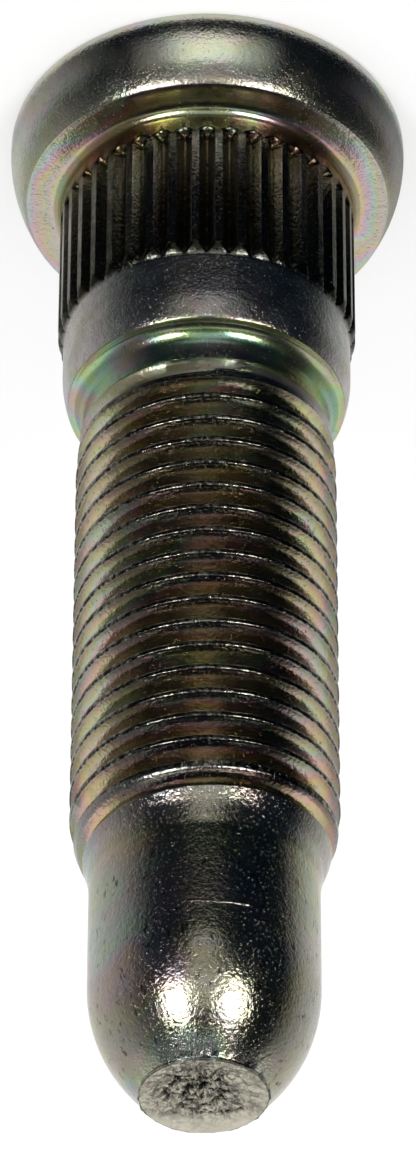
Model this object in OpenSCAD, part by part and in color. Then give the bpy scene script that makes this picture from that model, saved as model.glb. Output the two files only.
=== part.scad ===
// Wheel stud: forged head, knurled shank that is pressed into a hub from behind, rolled thread, lead-in nose.
// It stands on the outer face of its head. The origin is the middle of that face, and +Z runs to the tip.

/* [Head] */
// Largest diameter of the head
head_d = 21.7; // [20.8:0.1:26]
// Height of the head, from its outer face to its seat
head_h = 4.65; // [3:0.05:7]
// Diameter of the seat's sharp outer edge
seat_d = 19.9; // [18.8:0.1:20.6]
// Height of the head's widest line over its outer face
belly_h = 1; // [0.6:0.1:1.6]
// Rounding of the outer face's edge
face_round = 0.4; // [0.2:0.05:0.5]
// Fillet between the seat and the shank
seat_fillet = 0.7; // [0.4:0.05:1.4]

/* [Knurl] */
// Diameter over the knurl's crests, a press fit in the hub
knurl_d = 16.1; // [15.8:0.1:16.6]
// Length of the knurled shank, from the seat
knurl_h = 10.05; // [7:0.05:13]
// Length over which the crests fall away to the collar
knurl_lead = 0.7; // [0.4:0.05:1.5]
// Number of grooves, cut straight along the shank
serrations = 40; // [30:1:44]
// Depth of a groove
groove_depth = 0.42; // [0.2:0.02:0.5]
// Width of a groove at the crests
groove_w = 0.86; // [0.5:0.02:0.94]
// Height at which the grooves run out, over the seat
groove_start = 1.4; // [1.3:0.05:2.5]

/* [Collar and neck] */
// Diameter of the smooth pilot collar
collar_d = 15.5; // [15:0.1:15.7]
// Length of the collar
collar_h = 4.3; // [2.5:0.1:8]
// Length over which the collar rounds down to its end edge
collar_round_h = 1.9; // [1:0.1:2.2]
// Diameter of the collar's end edge
collar_edge_d = 14.88; // [14.4:0.02:14.96]
// Diameter of the neck, the plain blank before the thread
neck_d = 13; // [12.4:0.1:13.2]
// Length of the neck
neck_h = 2.35; // [1.9:0.05:6]
// Fillet between the collar's end and the neck
neck_fillet = 0.85; // [0.3:0.05:0.9]

/* [Thread] */
// Diameter over the thread's full crests, of a nominal 14 mm
thread_d = 13.86; // [13.7:0.02:14]
// Pitch of the right-hand thread
pitch = 1.5; // [1.25:0.25:2]
// Length of the thread with its crests, from the first ridge
thread_h = 25.3; // [15:0.1:40]
// Length of the taper where the thread runs out to the nose
taper_h = 4.2; // [3:0.1:6]

/* [Nose] */
// Diameter of the smooth nose
nose_d = 11.76; // [11:0.02:11.9]
// Length of the nose's straight part
nose_straight = 6.15; // [3:0.05:12]
// Radius of the nose's rounding
nose_r = 8.6; // [7.5:0.1:12]
// Length of the rounding, up to the cropped end
nose_round_h = 6.2; // [4:0.05:6.5]
// Thickness of the torn disc left where the end was cropped
crop_h = 0.25; // [0.1:0.05:0.5]

/* [Hidden] */

$fn = 72;
overlap = 0.01;

// Heights along the stud
seat_z = head_h;
knurl_end_z = seat_z + knurl_h;
collar_end_z = knurl_end_z + collar_h;
thread_z = collar_end_z + neck_h;
thread_end_z = thread_z + thread_h;
nose_z = thread_end_z + taper_h;
nose_round_z = nose_z + nose_straight;
crop_z = nose_round_z + nose_round_h;

// Radii
head_r = head_d / 2;
seat_r = seat_d / 2;
knurl_r = knurl_d / 2;
collar_r = collar_d / 2;
collar_edge_r = collar_edge_d / 2;
neck_r = neck_d / 2;
thread_r = thread_d / 2;
plain_nose_r = nose_d / 2;
crop_r = plain_nose_r - nose_r + sqrt(nose_r * nose_r - nose_round_h * nose_round_h);
side_drop = head_r - seat_r;
side_h = seat_z - belly_h;
side_r = (side_h * side_h + side_drop * side_drop) / (2 * side_drop);
seat_blend = min(seat_fillet, (seat_r - knurl_r) * 0.7);
neck_blend = min(neck_fillet, collar_edge_r - neck_r - 0.05);

// The thread's first turns are rolled low, and its last ones lie on the taper
low_crest = 0.18;
rise_h = 0.3;
fill_h = 2.6;
taper_shoulder = 0.25;
taper_foot = 0.17;

// Thread form: flanks at 60 degrees to each other and a narrow flat root
thread_depth = 0.6134 * pitch - 0.04;
root_r = thread_r - thread_depth;
root_half_w = pitch / 16 + 0.02;
flank = tan(30);
cut_r = thread_r + 0.17;
turn_steps = 24;
start_angle = -125;
run_in_steps = 3;

// A forged barrel side between the flat outer face and the seat
module head_section() {
    intersection() {
        hull() {
            translate([head_r - side_r, belly_h]) circle(r = side_r);
            square([seat_r - seat_blend, seat_z]);
        }
        square([head_r + 1, seat_z]);
        union() {
            square([head_r - face_round, seat_z]);
            translate([0, face_round]) square([head_r + 1, seat_z]);
            translate([head_r - face_round - 0.05, face_round]) circle(r = face_round);
        }
    }
}

// The shank over the seat, with its fillet, before the knurl's grooves are cut
module shank_section() {
    difference() {
        translate([0, seat_z - overlap]) square([knurl_r + seat_blend, seat_blend + overlap]);
        translate([knurl_r + seat_blend, seat_z + seat_blend]) circle(r = seat_blend);
    }
    polygon([
        [0, seat_z], [knurl_r, seat_z + seat_blend], [knurl_r, knurl_end_z - knurl_lead],
        [collar_r, knurl_end_z], [0, knurl_end_z]
    ]);
}

// The smooth collar, whose rounded end drops to the neck
module collar_section() {
    round_r = (collar_round_h * collar_round_h + pow(collar_r - collar_edge_r, 2)) / (2 * (collar_r - collar_edge_r));
    translate([0, knurl_end_z - 1]) square([collar_r, 1 + collar_h - collar_round_h]);
    intersection() {
        translate([0, collar_end_z - collar_round_h - overlap]) square([collar_r, collar_round_h + overlap]);
        translate([collar_r - round_r, collar_end_z - collar_round_h]) circle(r = round_r);
    }
    difference() {
        translate([0, collar_end_z - overlap]) square([neck_r + neck_blend, neck_blend + overlap]);
        translate([neck_r + neck_blend, collar_end_z + neck_blend]) circle(r = neck_blend);
    }
}

// The blank that the thread is rolled on, from the neck to the nose
module thread_section() {
    polygon([
        [0, collar_end_z], [neck_r, collar_end_z], [neck_r, thread_z - rise_h], [thread_r - low_crest, thread_z],
        [thread_r, thread_z + fill_h], [thread_r, thread_end_z],
        [thread_r - taper_shoulder, thread_end_z + taper_h * 0.35],
        [plain_nose_r + taper_foot, nose_z - taper_h * 0.25], [plain_nose_r, nose_z], [0, nose_z]
    ]);
}

// The smooth nose, rounded to the torn disc at its end
module nose_section() {
    translate([0, nose_z - overlap]) square([plain_nose_r, nose_straight + overlap]);
    intersection() {
        translate([0, nose_round_z - overlap]) square([plain_nose_r, nose_round_h + overlap]);
        translate([plain_nose_r - nose_r, nose_round_z]) circle(r = nose_r);
    }
    translate([0, crop_z - overlap]) square([crop_r, crop_h + overlap]);
}

module stud_blank() {
    rotate_extrude() {
        head_section();
        shank_section();
        collar_section();
        thread_section();
        nose_section();
    }
}

// One straight V groove of the knurl, with the round mark where it runs out near the seat
module knurl_groove() {
    reach = 0.3;
    v_w = groove_w * (groove_depth + reach) / groove_depth;
    bottom_r = knurl_r - groove_depth;
    from_z = seat_z + groove_start;
    translate([0, 0, from_z + 0.3]) linear_extrude(knurl_h - groove_start - 0.2)
        polygon([[bottom_r, 0], [knurl_r + reach, -v_w / 2], [knurl_r + reach, v_w / 2]]);
    translate([bottom_r + 0.08, 0, from_z + 0.3]) rotate([0, 90, 0])
        cylinder(r1 = 0.12, r2 = 0.45, h = reach + groove_depth);
}

// A cross-section of the thread's groove, turned about the stud by a and raised to z
function groove_points(a, z, bottom_r) =
    let (half_w = root_half_w + (cut_r - bottom_r) * flank)
    [for (p = [[bottom_r, -root_half_w], [cut_r, -half_w], [cut_r, half_w], [bottom_r, root_half_w]])
        [p[0] * cos(a), p[0] * sin(a), z + p[1]]];

// The right-hand groove of the thread, which deepens from the neck and leaves through the taper
module thread_groove() {
    n = ceil((nose_z + 0.3 - thread_z) / pitch * turn_steps);
    points = [for (i = [0 : n]) each groove_points(
        start_angle + i * 360 / turn_steps, thread_z + 0.12 + i * pitch / turn_steps,
        root_r + max(0, 1 - i / run_in_steps) * thread_depth)];
    faces = concat(
        [[3, 2, 1, 0]],
        [for (i = [0 : n - 1], j = [0 : 3])
            let (a = i * 4 + j, b = i * 4 + (j + 1) % 4)
            each [[a, b + 4, a + 4], [a, b, b + 4]]],
        [[n * 4, n * 4 + 1, n * 4 + 2, n * 4 + 3]]
    );
    polyhedron(points, faces, convexity = 20);
}

module wheel_stud() {
    color("darkkhaki") difference() {
        stud_blank();
        for (i = [0 : serrations - 1]) rotate([0, 0, -90 + i * 360 / serrations]) knurl_groove();
        thread_groove();
    }
}

wheel_stud();
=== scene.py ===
import math

import bpy
from mathutils import Matrix, Vector


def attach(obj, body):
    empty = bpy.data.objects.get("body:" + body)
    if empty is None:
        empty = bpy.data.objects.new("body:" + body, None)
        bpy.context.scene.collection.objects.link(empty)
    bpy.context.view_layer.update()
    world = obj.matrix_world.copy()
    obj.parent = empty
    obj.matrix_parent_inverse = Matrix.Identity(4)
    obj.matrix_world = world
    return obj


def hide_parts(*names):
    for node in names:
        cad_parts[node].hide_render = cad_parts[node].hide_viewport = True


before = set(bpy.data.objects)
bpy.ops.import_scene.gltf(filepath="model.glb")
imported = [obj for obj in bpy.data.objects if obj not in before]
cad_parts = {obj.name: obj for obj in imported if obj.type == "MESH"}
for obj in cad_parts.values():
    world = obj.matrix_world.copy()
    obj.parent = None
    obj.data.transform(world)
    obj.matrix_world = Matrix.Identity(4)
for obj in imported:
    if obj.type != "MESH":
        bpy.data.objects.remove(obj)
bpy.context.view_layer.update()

# The blank
# A steel bar, upset at one end into a round head and turned or drawn down to its collar, neck and nose.
# Its outline is drawn here once, as radius and height in millimetres, from the middle of the head's outer
# face to the middle of the cropped end. The knurl, the thread and the torn end are formed on it further down.


def turned_arc(centre, radius, start, stop, steps):
    """Points of an arc in the outline; centre is (radius, height) and angles are in degrees."""
    points = []
    for step in range(steps + 1):
        angle = math.radians(start + (stop - start) * step / steps)
        points.append((centre[0] + radius * math.cos(angle), centre[1] + radius * math.sin(angle)))
    return points


def even_heights(low, high, steps):
    return [low + (high - low) * step / steps for step in range(steps + 1)]


seat_height = 4.65
tip_height = 63.45
tip_radius = 3.15

head_outline = [(0, 0), (3.5, 0), (7, 0), (9.6, 0), (10.2, 0)]
head_outline += turned_arc((10.4, 0.4), 0.4, -90, -15, 4)
head_outline += turned_arc((3.0, 1.0), 7.85, -3.4, 27.1, 11)
head_outline += [(9.925, 4.635), (9.88, 4.655), (9.6, seat_height), (9.2, seat_height)]
head_outline += turned_arc((8.75, 5.35), 0.7, -90, -180, 11)

knurl_heights = even_heights(5.9, 6.9, 10) + even_heights(7.4, 13.6, 8) + even_heights(13.9, 14.85, 9)
knurl_outline = []
for height in knurl_heights:
    fall = min(max((height - 13.95) / 0.8, 0), 1)
    knurl_outline.append((8.05 - 0.3 * fall ** 2.4, height))

collar_outline = [(7.75, 15.1), (7.75, 15.9), (7.745, 16.6)]
collar_outline += turned_arc((1.76, 17.1), 5.98, 0.5, 18.3, 8)
collar_outline += [(7.4, 19.03), (7.24, 19.04)]
collar_outline += turned_arc((7.57, 20.02), 1.07, -112, -180, 9)
collar_outline += [(6.5, 20.3), (6.5, 20.7), (6.5, 20.9)]

nose_outline = [(5.88, 51.0)] + [(5.88, height) for height in even_heights(51.2, 57.0, 7)]
nose_outline += turned_arc((-2.72, 57.0), 8.6, 3, 45.9, 15)

torn_rings = 24
torn_outline = [(3.23, 63.22), (3.28, 63.28), (3.3, 63.37), (3.25, 63.43), (tip_radius, tip_height)]
torn_outline += [(tip_radius * (1 - ring / torn_rings), tip_height) for ring in range(1, torn_rings + 1)]

# Heights of the rows along one pitch of the thread, from the middle of its groove
pitch = 1.5
groove_foot = pitch / 16 + 0.02
groove_rows = [-0.65, -0.6, -0.36, -groove_foot, groove_foot, 0.36, 0.6, 0.65]
thread_low = collar_outline[-1][1]
thread_high = nose_outline[0][1]
first_groove = 21.597
thread_outline = []
for turn in range(-2, 21):
    for row in groove_rows:
        height = first_groove + turn * pitch + row
        if thread_low - pitch < height < thread_high:
            thread_outline.append((6.5, height))

blank_mesh = bpy.data.meshes.new("stud blank")
outline = head_outline + knurl_outline + collar_outline + thread_outline + nose_outline + torn_outline
blank_mesh.from_pydata([(radius, 0, height) for radius, height in outline], [], [])
band_starts = {
    "knurled": (len(head_outline), len(knurl_outline)),
    "threaded": (len(head_outline) + len(knurl_outline) + len(collar_outline), len(thread_outline)),
    "torn": (len(outline) - len(torn_outline), len(torn_outline)),
}
for band, (start, count) in band_starts.items():
    mark = blank_mesh.attributes.new(band, "FLOAT", "POINT")
    for row in range(start, start + count):
        mark.data[row].value = 1
stud = bpy.data.objects.new("stud", blank_mesh)
bpy.context.collection.objects.link(stud)


# Knurl and thread
# Both are rolled between hardened dies after the head is made: forty straight grooves with a round mark near
# the seat, and a right-hand thread of 1.5 mm pitch. The tree turns the outline about the stud's axis, lets the
# thread's rows climb by a pitch a turn, presses the grooves into the blank and tears the cropped end.


class Wire:
    """A number on its way through a node tree, on which sums are written as formulas."""

    def __init__(self, tree, socket):
        self.tree = tree
        self.socket = socket

    def step(self, operation, *others):
        node = self.tree.nodes.new("ShaderNodeMath")
        node.operation = operation
        for socket, value in zip(node.inputs, (self,) + others):
            plug(self.tree, value, socket)
        return Wire(self.tree, node.outputs[0])

    def __add__(self, other):
        return self.step("ADD", other)

    def __sub__(self, other):
        return self.step("SUBTRACT", other)

    def __mul__(self, other):
        return self.step("MULTIPLY", other)

    def __truediv__(self, other):
        return self.step("DIVIDE", other)

    def floor(self):
        return self.step("FLOOR")

    def size(self):
        return self.step("ABSOLUTE")

    def at_least(self, other):
        return self.step("MAXIMUM", other)

    def at_most(self, other):
        return self.step("MINIMUM", other)

    def ramp(self, low, high, start=0.0, stop=1.0, smooth=False):
        """The value goes from start to stop while this number goes from low to high."""
        node = self.tree.nodes.new("ShaderNodeMapRange")
        node.interpolation_type = "SMOOTHSTEP" if smooth else "LINEAR"
        for name, value in (("Value", self), ("From Min", low), ("From Max", high),
                            ("To Min", start), ("To Max", stop)):
            plug(self.tree, value, node.inputs[name])
        return Wire(self.tree, node.outputs["Result"])


def plug(tree, value, socket):
    if isinstance(value, Wire):
        tree.links.new(value.socket, socket)
    elif isinstance(value, bpy.types.NodeSocket):
        tree.links.new(value, socket)
    else:
        socket.default_value = value


def add_node(tree, kind, settings=None, **sockets):
    """A new node; settings are its own properties, and sockets are values or links, by socket name."""
    node = tree.nodes.new(kind)
    for name, value in (settings or {}).items():
        setattr(node, name, value)
    for name, value in sockets.items():
        plug(tree, value, node.inputs[name.replace("_", " ")])
    return node


def hypotenuse(side, other_side):
    return (side * side + other_side * other_side).step("SQRT")


columns = 320
stud_sizes = {
    "Columns": columns,
    "Teeth": 40.0,
    "Knurl radius": 8.05,
    "Tooth depth": 0.43,
    "Tooth half width": 0.43,
    "Tooth start": 6.35,
    "Tooth end": 14.2,
    "Pitch": pitch,
    "First groove": first_groove,
    "Thread low end": thread_low,
    "Thread high end": thread_high,
    "Root radius": 6.05,
    "Root half width": groove_foot,
    "Tear depth": 0.42,
    "Tear seed": 11.0,
}


def stud_tree(sizes):
    tree = bpy.data.node_groups.new("turned, knurled and rolled", "GeometryNodeTree")
    tree.interface.new_socket("Section", in_out="INPUT", socket_type="NodeSocketGeometry")
    for name, value in sizes.items():
        kind = "NodeSocketInt" if isinstance(value, int) else "NodeSocketFloat"
        socket = tree.interface.new_socket(name, in_out="INPUT", socket_type=kind)
        socket.default_value = value
    tree.interface.new_socket("Finish", in_out="INPUT", socket_type="NodeSocketMaterial")
    tree.interface.new_socket("Stud", in_out="OUTPUT", socket_type="NodeSocketGeometry")
    given = add_node(tree, "NodeGroupInput")
    size = {name: Wire(tree, given.outputs[name]) for name in sizes}
    section = given.outputs["Section"]

    # One column of the grid per step round the stud and one row per point of the outline
    point_count = add_node(tree, "GeometryNodeAttributeDomainSize", Geometry=section).outputs["Point Count"]
    rows = Wire(tree, point_count)
    grid = add_node(tree, "GeometryNodeMeshGrid", Vertices_X=size["Columns"] + 1, Vertices_Y=rows)
    index = Wire(tree, add_node(tree, "GeometryNodeInputIndex").outputs[0])
    column = ((index + 0.5) / rows).floor()
    row = (index + 0.5 - column * rows).floor()

    def from_section(value, data_type):
        node = add_node(tree, "GeometryNodeSampleIndex", {"data_type": data_type}, Geometry=section, Index=row)
        plug(tree, value, node.inputs["Value"])
        return node.outputs[0]

    def marked(band):
        name = add_node(tree, "GeometryNodeInputNamedAttribute", {"data_type": "FLOAT"}, Name=band)
        return Wire(tree, from_section(name.outputs[0], "FLOAT"))

    position = add_node(tree, "GeometryNodeInputPosition").outputs[0]
    place = add_node(tree, "ShaderNodeSeparateXYZ", Vector=from_section(position, "FLOAT_VECTOR"))
    blank = Wire(tree, place.outputs["X"])
    height = Wire(tree, place.outputs["Z"])

    # Columns stand closer together on the crests and in the bottoms of the teeth
    degrees = column * (360 / columns) + (column * (math.pi / 4)).step("SINE") * 0.35
    turned = degrees / 360
    climbing = height + size["Pitch"] * turned
    climbing = climbing.at_least(size["Thread low end"]).at_most(size["Thread high end"])
    height = height + marked("threaded") * (climbing - height)

    # Straight V grooves of the knurl, with a cup-shaped mark at the end near the seat
    tooth_angle = Wire(tree, add_node(tree, "ShaderNodeValue").outputs[0])
    tooth_angle.socket.default_value = 360
    tooth_angle = tooth_angle / size["Teeth"]
    aside = degrees - (degrees / tooth_angle).floor() * tooth_angle - tooth_angle / 2
    aside = aside.size() * (math.pi / 180) * size["Knurl radius"]
    from_mark = height - size["Tooth start"]
    bottom = size["Knurl radius"] - size["Tooth depth"] + (height - size["Tooth end"]).at_least(0) * 0.22
    slope = size["Tooth depth"] / size["Tooth half width"]
    tooth = bottom + hypotenuse(aside, from_mark.at_most(0)) * slope
    reach = hypotenuse(aside, from_mark)
    cup = bottom + reach * reach * 3.1 - 0.02
    knurl = blank.at_most(tooth).at_most(cup)

    # The blank that the thread is rolled on is low at its first ridge and tapers to the nose. Its groove starts
    # shallow and leaves through the taper.
    start_angle = 30.5
    flank_slope = math.tan(math.radians(30))
    rolled = height.ramp(20.95, 21.45, 6.5, 6.75, True) + height.ramp(21.4, 23.95, 0, 0.18)
    rolled = rolled + height.ramp(46.65, 48.1, 0, -0.25) + height.ramp(48.1, 49.8, 0, -0.63)
    rolled = rolled + height.ramp(49.8, 50.85, 0, -0.17)
    risen = height - size["First groove"] - size["Pitch"] * turned
    turn_number = (risen / size["Pitch"] + 0.5).floor()
    off_middle = (risen - turn_number * size["Pitch"]).size()
    travelled = turn_number + turned + start_angle / 360
    shallow = travelled.ramp(0, 0.125, 0.9, 0)
    not_begun = travelled.ramp(-0.001, 0, 1, 0)
    groove = size["Root radius"] + shallow + not_begun
    groove = groove + (off_middle - size["Root half width"]).at_least(0) / flank_slope
    thread = rolled.at_most(groove)

    radius = blank + marked("knurled") * (knurl - blank)
    radius = radius + marked("threaded") * (thread - radius)

    # How far each point lies under the blank, and where the crests are, for the finish
    sunk = marked("knurled") * (blank - knurl) + marked("threaded") * (rolled - thread)
    crest = marked("threaded") * sunk.ramp(0.05, 0.1, 1, 0) * height.ramp(48.6, 48.0) * height.ramp(21.9, 22.5)

    # The cropped end is torn: folds that fan out, a few deep pits and one long crack
    torn = marked("torn")
    angle = (degrees - 94.5) * (math.pi / 180)
    across = radius * angle.step("COSINE")
    along = radius * angle.step("SINE")
    from_fan = hypotenuse(across - 0.2, along + 2.7).at_least(0.05)
    fan = add_node(tree, "ShaderNodeCombineXYZ", X=(across - 0.2) / from_fan * 4,
                   Y=(along + 2.7) / from_fan * 4, Z=from_fan * 0.35)
    folds = add_node(tree, "ShaderNodeTexNoise", {"noise_dimensions": "4D"}, Vector=fan.outputs[0],
                     W=size["Tear seed"], Scale=1.5, Detail=3.0, Roughness=0.6)
    folds = Wire(tree, folds.outputs[0]) - 0.5
    flat_place = add_node(tree, "ShaderNodeCombineXYZ", X=across, Y=along)
    crumbs = add_node(tree, "ShaderNodeTexNoise", {"noise_dimensions": "4D"}, Vector=flat_place.outputs[0],
                      W=size["Tear seed"] + 5, Scale=1.7, Detail=3.0, Roughness=0.65)
    crumbs = Wire(tree, crumbs.outputs[0]) - 0.5
    to_pits = hypotenuse(across - 0.5, (along + 0.5) * 0.8)
    pits = to_pits.ramp(0.6, 2.2, 1, 0, True) * crumbs.ramp(0.0, -0.1, 0, 1)
    arc = (hypotenuse(across + 0.35, along + 1.2) - 2.65 + crumbs * 0.4).size().ramp(0.03, 0.12, 1, 0)
    crack = arc * along.ramp(0.75, 1.15, 0, 1, True)
    inner = radius.ramp(2.6, 3.2, 1, 0.2, True)
    rough_face = inner * along.ramp(1.3, 1.8, 1, 0.15, True)
    drop = folds * rough_face * 1.8 + crumbs * rough_face * 1.4 - pits * 0.9 - crack * 0.6
    height = height + torn * drop * size["Tear depth"]
    radius = radius + torn * (folds * 0.25 + crumbs * 0.25) * radius.ramp(2.9, 3.25, 0, 1)

    point = add_node(tree, "ShaderNodeCombineXYZ", X=radius * angle.step("COSINE") * 0.001,
                     Y=radius * angle.step("SINE") * 0.001, Z=height * 0.001)
    formed = add_node(tree, "GeometryNodeSetPosition", Geometry=grid.outputs[0], Position=point.outputs[0])
    shape = formed.outputs[0]
    for mark, amount in (("sunk", sunk), ("crest", crest), ("pit", torn * (pits * 1.6 + crack).at_most(1))):
        kept = add_node(tree, "GeometryNodeStoreNamedAttribute", {"data_type": "FLOAT", "domain": "POINT"},
                        Geometry=shape, Name=mark, Value=amount)
        shape = kept.outputs[0]
    # The seam and both poles are closed before the stud is smoothed
    closed = add_node(tree, "GeometryNodeMergeByDistance", Geometry=shape, Distance=1.5e-6)
    smooth = add_node(tree, "GeometryNodeSetShadeSmooth", Geometry=closed.outputs[0])
    real = add_node(tree, "GeometryNodeRealizeInstances", Geometry=smooth.outputs[0])
    finished = add_node(tree, "GeometryNodeSetMaterial", Geometry=real.outputs[0],
                        Material=given.outputs["Finish"])
    add_node(tree, "NodeGroupOutput", Stud=finished.outputs[0])
    return tree


# Finish
# The stud is zinc plated and dipped in a thin yellow chromate, whose film shows pink, gold, green and lilac
# where it is thicker: on the seat, in the fillets and on the thread's flanks. The steel under it is lightly
# dimpled from tumbling, and the cropped end was torn after plating, so it is dull and beige.


def plated_steel_material():
    steel = bpy.data.materials.new("zinc with yellow chromate")
    steel.use_nodes = True
    tree = steel.node_tree
    tree.nodes.clear()
    out = add_node(tree, "ShaderNodeOutputMaterial")
    place = add_node(tree, "ShaderNodeTexCoord").outputs["Object"]
    mm = add_node(tree, "ShaderNodeMapping", Vector=place, Scale=(1000, 1000, 1000)).outputs[0]
    parts = add_node(tree, "ShaderNodeSeparateXYZ", Vector=mm)
    x = Wire(tree, parts.outputs["X"])
    y = Wire(tree, parts.outputs["Y"])
    height = Wire(tree, parts.outputs["Z"])
    radius = hypotenuse(x, y)

    def noise(scale, detail=3.0, seed=0.0, vector=mm, rough=0.55):
        node = add_node(tree, "ShaderNodeTexNoise", {"noise_dimensions": "4D"}, Vector=vector, W=seed,
                        Scale=scale, Detail=detail, Roughness=rough)
        return Wire(tree, node.outputs[0])

    def mix(amount, first, second, blend="MIX"):
        node = add_node(tree, "ShaderNodeMix", {"data_type": "RGBA", "blend_type": blend})
        plug(tree, amount, node.inputs["Factor"])
        plug(tree, first, node.inputs[6])
        plug(tree, second, node.inputs[7])
        return node.outputs[2]

    def mark(name):
        node = add_node(tree, "ShaderNodeAttribute", {"attribute_type": "GEOMETRY", "attribute_name": name})
        return Wire(tree, node.outputs["Fac"])

    # Where each part of the stud is, from 0 to 1
    sunk = mark("sunk")
    crest = mark("crest")
    on_knurl = height.ramp(5.9, 6.2) * height.ramp(14.9, 14.6)
    on_thread = height.ramp(21.2, 21.5) * height.ramp(50.4, 49.8)
    in_thread = sunk.ramp(0.03, 0.12) * on_thread
    on_seat = height.ramp(4.6, 4.7) * height.ramp(6.4, 6.0)
    on_neck = height.ramp(18.9, 19.05) * height.ramp(21.8, 21.4)
    on_head = height.ramp(4.62, 4.5)
    on_collar = height.ramp(14.8, 15.0) * height.ramp(19.0, 18.9)
    on_nose = height.ramp(51.0, 52.0)

    # Thickness of the film, as bands that follow the radius and wander with a slow noise, and its colours
    film = radius * 0.5 + height * 0.06 + noise(0.13, 2.0, 3.0) * 3.6 + noise(0.8, 3.0, 7.0) * 0.6
    film = film - film.floor()
    rainbow = add_node(tree, "ShaderNodeValToRGB", Fac=film)
    stops = [
        (0.0, (0.55, 0.52, 0.44)),
        (0.15, (0.64, 0.57, 0.3)),
        (0.32, (0.72, 0.46, 0.42)),
        (0.46, (0.62, 0.47, 0.58)),
        (0.6, (0.47, 0.61, 0.55)),
        (0.75, (0.55, 0.6, 0.32)),
        (0.88, (0.68, 0.52, 0.46)),
        (1.0, (0.55, 0.52, 0.44)),
    ]
    ramp = rainbow.color_ramp
    ramp.elements[0].position = stops[0][0]
    ramp.elements[0].color = stops[0][1] + (1,)
    ramp.elements[1].position = stops[-1][0]
    ramp.elements[1].color = stops[-1][1] + (1,)
    for position, colour in stops[1:-1]:
        ramp.elements.new(position).color = colour + (1,)
    plain = (0.52, 0.528, 0.475, 1)
    film_amount = noise(0.35, 2.0, 21.0).ramp(0.35, 0.65, 0.1, 0.5)
    film_amount = film_amount + on_seat * 0.8 + on_neck * 0.75 + in_thread * 0.4
    film_amount = film_amount + (on_collar + on_nose) * 0.15
    colour = mix(film_amount.at_most(1), plain, rainbow.outputs["Color"])
    mottling = noise(0.7, 4.0, 57.0, rough=0.65).ramp(0.4, 0.58)
    colour = mix(on_collar * mottling * 0.6, colour, (0.86, 0.8, 0.8, 1))
    first_ridge = height.ramp(21.0, 21.2) * height.ramp(22.1, 21.8)

    # On the thread the film is brown, the first ridge is pale and the crests are dark with bright beads
    colour = mix(in_thread, colour, (0.97, 0.9, 0.76, 1), "MULTIPLY")
    grains = noise(3.6, 3.0, 43.0).ramp(0.4, 0.6, 0.1, 0.75)
    colour = mix(first_ridge * grains, colour, (0.7, 0.58, 0.62, 1))
    colour = mix(crest * 0.6, colour, (0.35, 0.34, 0.33, 1), "MULTIPLY")
    beads = noise(4.5, 2.0, 41.0).ramp(0.46, 0.58)
    colour = mix(crest.ramp(0.88, 0.98), colour, mix(beads, (0.05, 0.045, 0.04, 1), (0.4, 0.38, 0.31, 1)))

    # On the knurl the lands are darker, in streaks, and darkest where they fall to the collar
    along_knurl = add_node(tree, "ShaderNodeMapping", Vector=mm, Scale=(5, 5, 0.8)).outputs[0]
    streaks = noise(1.0, 3.0, 45.0, along_knurl)
    land = mix(streaks.ramp(0.35, 0.65), (0.17, 0.17, 0.155, 1), (0.46, 0.44, 0.39, 1))
    land = mix(height.ramp(13.9, 14.3), land, (0.08, 0.08, 0.07, 1))
    # Painted shade: the grooves' flanks nearly black; painted highlight: their bottoms bright, fading up the
    # knurl
    highlight_fading = height.ramp(6.6, 9.5, 1, 0.25) * streaks.ramp(0.35, 0.6, 0.4, 1)
    groove = mix(sunk.ramp(0.36, 0.42) * highlight_fading, (0.2, 0.19, 0.15, 1), (1.0, 0.94, 0.66, 1))
    knurl = mix(sunk.ramp(0.02, 0.1), land, groove)
    colour = mix(on_knurl, colour, knurl, "MULTIPLY")

    # Thick golden film in the corner between the seat and the knurl, and painted shade next to the knurl
    corner = height.ramp(4.66, 5.1) * height.ramp(6.1, 5.8)
    colour = mix(corner, colour, (0.97, 0.9, 0.68, 1), "MULTIPLY")
    # Painted shade: a darker band on the shank next to the knurl
    painted_shade_by_knurl = height.ramp(5.05, 5.3) * height.ramp(6.5, 6.2)
    colour = mix(painted_shade_by_knurl, colour, (0.4, 0.37, 0.3, 1), "MULTIPLY")

    # The film is green in the neck's fillet, and yellow next to the thread and along the seat's edge
    colour = mix(on_neck, colour, (0.95, 1.0, 0.87, 1), "MULTIPLY")
    in_neck_fillet = height.ramp(19.0, 19.1) * height.ramp(20.3, 19.9)
    colour = mix(in_neck_fillet, colour, (0.82, 1.0, 0.95, 1), "MULTIPLY")
    yellowed = height.ramp(50.2, 51.0) * height.ramp(51.0, 56.0, 1, 0.15)
    yellowed = yellowed + height.ramp(1.5, 3.8, 0, 0.5) * on_head
    colour = mix(yellowed, colour, (1.0, 0.99, 0.79, 1), "MULTIPLY")

    # Stains, smudges and pinholes
    stains = noise(1.6, 5.0, 51.0, rough=0.7).ramp(0.54, 0.7, 0, 0.45)
    smudges = noise(0.45, 5.0, 55.0, rough=0.65).ramp(0.45, 0.62)
    smudges = smudges * (on_head * 0.25 + on_collar * 0.2 - on_seat * 0.12 + 0.2)
    colour = mix(smudges, colour, (0.66, 0.69, 0.7, 1), "MULTIPLY")
    pinholes = noise(5.0, 2.0, 61.0).ramp(0.66, 0.72, 0, 0.7)
    colour = mix(stains, colour, (0.6, 0.6, 0.58, 1), "MULTIPLY")
    colour = mix(pinholes, colour, (0.08, 0.08, 0.07, 1))

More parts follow.
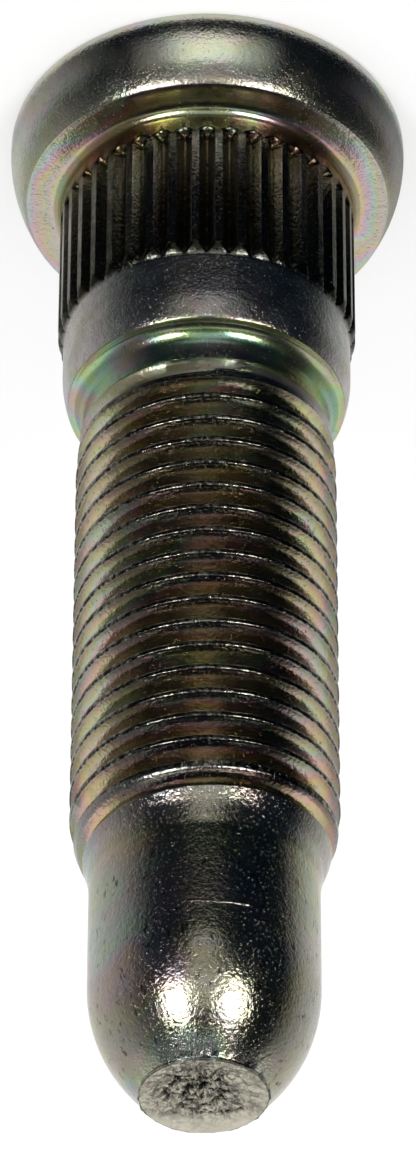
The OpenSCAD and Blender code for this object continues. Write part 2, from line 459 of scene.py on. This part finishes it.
    # Wear on the nose: dark flecks that run along it and one fine bright scratch across it
    along_nose = add_node(tree, "ShaderNodeMapping", Vector=mm, Scale=(1, 1, 0.4)).outputs[0]
    flecks = noise(2.8, 4.0, 63.0, along_nose, 0.65).ramp(0.6, 0.64) * on_nose * 0.8
    colour = mix(flecks, colour, (0.07, 0.07, 0.06, 1))
    scratch = height - 55.86 + (x + 0.9).size() * 0.03 + noise(1.5, 2.0, 67.0) * 0.08
    scratch = scratch.size().ramp(0.03, 0.06, 1, 0) * (x + 0.85).size().ramp(1.1, 1.6, 1, 0)
    scratch = scratch * y.ramp(-4.5, -5.0)
    colour = mix(scratch * 0.8, colour, (0.9, 0.88, 0.78, 1))

    # The torn end is bare, dull and beige, with folds that fan out from its near edge
    crumbs = noise(3.4, 4.0, 31.0, rough=0.7)
    torn = height.ramp(63.38, 63.42).at_least(radius.ramp(3.18, 3.12) * height.ramp(62.6, 62.7))
    bent = noise(0.9, 2.0, 75.0) - 0.5
    reach = hypotenuse(x - 0.2, y + 2.8).at_least(0.05)
    fan = add_node(tree, "ShaderNodeCombineXYZ", X=(x - 0.2) / reach * 7 + bent * 3, Y=(y + 2.8) / reach * 7,
                   Z=reach * 0.6)
    folds = noise(1.0, 3.0, 71.0, fan.outputs[0], 0.6)
    creases = (folds - 0.5).size().ramp(0.005, 0.06)
    centre = hypotenuse(x - 0.1, (y + 0.8) * 0.75)
    rough_side = y.ramp(1.5, 2.1, 1, 0.4) * centre.ramp(1.8, 3.2, 1, 0.6)
    # Painted shade of the relief: lighter where the folds and crumbs stand up, darker along the creases
    torn_relief_painted_shade = creases * 0.5 + folds.ramp(0.43, 0.57) * 0.15 + crumbs.ramp(0.45, 0.54) * 0.35
    torn_relief_painted_shade = (torn_relief_painted_shade - 1) * rough_side + 1
    torn_colour = mix(torn_relief_painted_shade, (0.03, 0.03, 0.025, 1), (0.66, 0.62, 0.5, 1))
    specks = noise(4.6, 4.0, 77.0, rough=0.65).ramp(0.525, 0.55) * centre.ramp(0.8, 2.6, 1, 0.25)
    specks = specks * y.ramp(1.5, 2.0, 1, 0)
    # Random specks are near black, and so are the pits and the crack, as painted shade in them
    torn_colour = mix((specks + mark("pit")).at_most(1), torn_colour, (0.012, 0.014, 0.012, 1))
    rim = radius.ramp(3.17, 3.23) * crumbs.ramp(0.38, 0.5, 0.5, 0.95)
    torn_colour = mix(rim, torn_colour, (0.05, 0.045, 0.035, 1))
    colour = mix(torn, colour, torn_colour)

    # The plating is smooth and lightly dimpled, with a few deeper dents, and finer towards the tip
    metal = torn * -0.6 + 1
    speck = noise(5.5, 2.0, 5.0).ramp(0.62, 0.74)
    fillets = height.ramp(4.6, 4.75) * height.ramp(6.0, 5.7)
    fillets = fillets + height.ramp(18.95, 19.05) * height.ramp(20.9, 20.3)
    roughness = noise(0.8, 3.0, 9.0).ramp(0.3, 0.7, 0.13, 0.2) + speck * 0.08 + torn * 0.3 - in_thread * 0.04
    roughness = roughness + on_head * 0.07 + on_collar * 0.06 + fillets * 0.06 + first_ridge * 0.2
    tip = height.ramp(61.9, 62.8)
    dents = noise(7.0, 2.0, 91.0).ramp(0.62, 0.68, 0, -0.17) * (on_head * -0.4 + 1)
    dimples = noise(6.5, 3.0, 13.0) * 0.6 + noise(2.4, 2.0, 17.0) * (tip * -0.3 + 0.46) + dents
    dimples = dimples * (fillets * -0.8 + 1) * (in_thread * -0.45 + 1) + noise(9.0, 2.0, 19.0) * tip * 0.5
    dimples = dimples + torn * (creases * 1.2 + folds * 1.5 + crumbs * 2.2) * rough_side - scratch * 0.6
    bump = add_node(tree, "ShaderNodeBump", Height=dimples, Strength=0.6, Distance=0.00008)
    shader = add_node(tree, "ShaderNodeBsdfPrincipled", Base_Color=colour, Metallic=metal, Roughness=roughness,
                      Normal=bump.outputs[0])
    tree.links.new(shader.outputs[0], out.inputs["Surface"])
    return steel


plated_steel = plated_steel_material()
rolling = stud.modifiers.new("turned, knurled and rolled", "NODES")
rolling.node_group = stud_tree(stud_sizes)
for item in rolling.node_group.interface.items_tree:
    if item.name in stud_sizes:
        rolling[item.identifier] = stud_sizes[item.name]
    elif item.name == "Finish":
        rolling[item.identifier] = plated_steel
evaluated = stud.evaluated_get(bpy.context.evaluated_depsgraph_get())
stud_mesh = bpy.data.meshes.new_from_object(evaluated)
stud.modifiers.remove(rolling)
stud.data = stud_mesh
stud_mesh.set_sharp_from_angle(angle=math.radians(42))
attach(stud, "root")
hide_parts("wheel_stud")


# Studio
# A pale floor that reaches past the view and two soft boxes in front of the stud. Cards bent round it, which
# only its reflections see, give the metal its dark and light bands: graded cloths and a few dim light cards.

floor_mesh = bpy.data.meshes.new("floor")
floor_mesh.from_pydata([(-3, -3, 0), (3, -3, 0), (3, 3, 0), (-3, 3, 0)], [], [(0, 1, 2, 3)])
floor = bpy.data.objects.new("floor", floor_mesh)
bpy.context.collection.objects.link(floor)
floor_paint = bpy.data.materials.new("pale floor")
floor_paint.use_nodes = True
paint = floor_paint.node_tree.nodes["Principled BSDF"]
paint.inputs["Base Color"].default_value = (0.66, 0.66, 0.66, 1)
paint.inputs["Roughness"].default_value = 0.9
paint.inputs["Emission Color"].default_value = (1, 1, 1, 1)
ray = add_node(floor_paint.node_tree, "ShaderNodeLightPath")
reflected = Wire(floor_paint.node_tree, ray.outputs["Is Glossy Ray"]) + ray.outputs["Is Transmission Ray"]
seen = Wire(floor_paint.node_tree, ray.outputs["Is Camera Ray"]) * 0.36 + reflected * 0.28
plug(floor_paint.node_tree, seen, paint.inputs["Emission Strength"])
floor_mesh.materials.append(floor_paint)


def tone_at(azimuth, tones):
    """The tone at an azimuth, read between the points of a list of (azimuth, tone)."""
    for (low, first), (high, last) in zip(tones, tones[1:]):
        if low <= azimuth <= high:
            return first + (last - first) * (azimuth - low) / (high - low)
    return 0


def studio_card(name, section, tones, lit=False):
    """A card bent round the stud, which only its reflections see: a graded cloth, or a graded light if lit.

    section is a list of (reach, height) in metres; tones is a list of (azimuth, tone), with azimuth in degrees
    from the camera's side towards -X.
    """
    points = []
    faces = []
    point_tones = []
    count = len(section)
    steps = round((tones[-1][0] - tones[0][0]) / 2)
    for step in range(steps + 1):
        azimuth = tones[0][0] + (tones[-1][0] - tones[0][0]) * step / steps
        angle = math.radians(azimuth)
        for reach, height in section:
            points.append((-math.sin(angle) * reach, -math.cos(angle) * reach, height))
            point_tones.append(tone_at(azimuth, tones))
        if step:
            for row in range(count - 1):
                low = (step - 1) * count + row
                faces.append((low, low + 1, low + count + 1, low + count))
    mesh = bpy.data.meshes.new(name)
    mesh.from_pydata(points, [], faces)
    mesh.attributes.new("tone", "FLOAT", "POINT").data.foreach_set("value", point_tones)
    card = bpy.data.objects.new(name, mesh)
    bpy.context.collection.objects.link(card)
    paint = bpy.data.materials.new(name)
    paint.use_nodes = True
    tree = paint.node_tree
    surface = tree.nodes["Principled BSDF"]
    tone = Wire(tree, add_node(tree, "ShaderNodeAttribute", {"attribute_name": "tone"}).outputs["Fac"])
    surface.inputs["Roughness"].default_value = 1
    surface.inputs["Specular IOR Level"].default_value = 0
    if lit:
        surface.inputs["Base Color"].default_value = (0, 0, 0, 1)
        surface.inputs["Emission Color"].default_value = (1, 1, 0.97, 1)
        plug(tree, tone, surface.inputs["Emission Strength"])
    else:
        cloth = add_node(tree, "ShaderNodeCombineColor", Red=tone, Green=tone + 0.003, Blue=tone + 0.008)
        plug(tree, cloth.outputs[0], surface.inputs["Base Color"])
    mesh.materials.append(paint)
    card.visible_camera = False
    card.visible_diffuse = False
    card.visible_shadow = False


left_tones = [(-160, 0.78), (-140, 0.64), (-120, 0.52), (-100, 0.38), (-80, 0.2), (-62, 0.05), (-48, 0.008)]
right_tones = [(24, 0.002), (76, 0.002), (88, 0.02), (100, 0.22), (120, 0.5), (140, 0.68), (160, 0.8)]
head_tones = [(-180, 0.95), (-110, 0.92), (-90, 0.75), (-70, 0.5), (-55, 0.3), (-42, 0.08), (-30, 0.002)]
head_tones += [(50, 0.002), (64, 0.08), (80, 0.28), (100, 0.45), (140, 0.5), (165, 0.85), (180, 0.95)]
studio_card("cloth by the head", [(0.0112, 0.0002), (0.016, 0.0002)], head_tones)
studio_card("floor cloth", [(0.016, 0.0002), (0.12, 0.0002)], left_tones + right_tones)
gap_tones = [(-15, 0.01), (-9, 0.4), (9, 0.4), (15, 0.01)]
studio_card("far floor cloth", [(0.12, 0.0002), (0.32, 0.0002)], left_tones + gap_tones + right_tones)
front_wall = [(0.32, 0.0002), (0.9, 0.0002), (0.9, 0.9), (0.6, 1.3)]
studio_card("front wall cloth", front_wall, left_tones[3:] + right_tones[:4])
studio_card("left wall cloth", [(0.32, 0.0002), (0.9, 0.0002), (0.9, 0.45)], left_tones[:4])
studio_card("right wall cloth", [(0.32, 0.0002), (0.9, 0.0002), (0.9, 0.45)], right_tones[3:])
studio_card("ceiling cloth", [(0.001, 1.3), (0.85, 1.3)], [(0, 0.006), (360, 0.006)])
studio_card("ceiling edge cloth", [(0.85, 1.3), (0.95, 1.3)], [(0, 0.12), (360, 0.12)])
studio_card("back ceiling cloth", [(0.95, 1.3), (1.08, 1.3)], [(90, 0.4), (290, 0.4)])
front_tones = [(-34, 0), (-22, 0.25), (-12, 0.5), (12, 0.5), (22, 0.25), (34, 0)]
studio_card("front card", [(0.7, 0.001), (0.7, 0.36)], front_tones, lit=True)
high_tones = [(-64, 0.2), (-45, 1.6), (-20, 1.3), (0, 0.7), (20, 1.3), (45, 1.3), (64, 0.2)]
studio_card("high card", [(0.55, 0.69), (0.51, 0.77)], high_tones, lit=True)
strip_tones = [(-28, 0), (-16, 0.35), (-7, 1.35), (5, 1.35), (14, 0.55), (26, 0)]
studio_card("strip by the head", [(0.0131, 0.0003), (0.0131, 0.0031)], strip_tones, lit=True)
collar_tones = [(-28, 0), (-12, 0.35), (0, 0.5), (12, 0.35), (28, 0)]
studio_card("strip by the collar", [(0.032, 0.004), (0.032, 0.013)], collar_tones, lit=True)


world = bpy.data.worlds.new("studio")
bpy.context.scene.world = world
world.use_nodes = True
world.node_tree.nodes["Background"].inputs["Color"].default_value = (1, 1, 1, 1)
world.node_tree.nodes["Background"].inputs["Strength"].default_value = 0.9


def soft_box(name, azimuth, elevation, distance, width, height, power):
    """An area light turned to the stud; azimuth in degrees from the camera's side, towards -X."""
    lamp = bpy.data.lights.new(name, "AREA")
    lamp.shape = "RECTANGLE"
    lamp.size = width
    lamp.size_y = height
    lamp.energy = power
    box = bpy.data.objects.new(name, lamp)
    aim = Vector((0, 0, 0.04))
    turn = math.radians(azimuth)
    lift = math.radians(elevation)
    away = Vector((-math.sin(turn) * math.cos(lift), -math.cos(turn) * math.cos(lift), math.sin(lift)))
    box.location = aim + away * distance
    box.rotation_euler = away.to_track_quat("Z", "Y").to_euler()
    bpy.context.collection.objects.link(box)


soft_box("left soft box", -31, 21, 0.6, 0.16, 0.15, 1.15)
soft_box("right soft box", 31, 21, 0.6, 0.16, 0.15, 1.15)

camera_data = bpy.data.cameras.new("camera")
camera_data.sensor_fit = "VERTICAL"
camera_data.sensor_height = 24
camera_data.lens = 12 / math.tan(math.radians(10.01 / 2))
camera_data.clip_start = 0.01
camera = bpy.data.objects.new("camera", camera_data)
camera_lift = math.radians(38.58)
camera_distance = 0.3445
aim = Vector((-0.000115, 0, 0.03044))
back = Vector((0, -math.cos(camera_lift), math.sin(camera_lift)))
camera.location = aim + back * camera_distance
facing = back.to_track_quat("Z", "Y").to_matrix().to_4x4()
roll = math.radians(180 + 0.2)
camera.rotation_euler = (facing @ Matrix.Rotation(roll, 4, "Z")).to_euler()
bpy.context.collection.objects.link(camera)
bpy.context.scene.camera = camera
bpy.context.scene.view_settings.view_transform = "Standard"
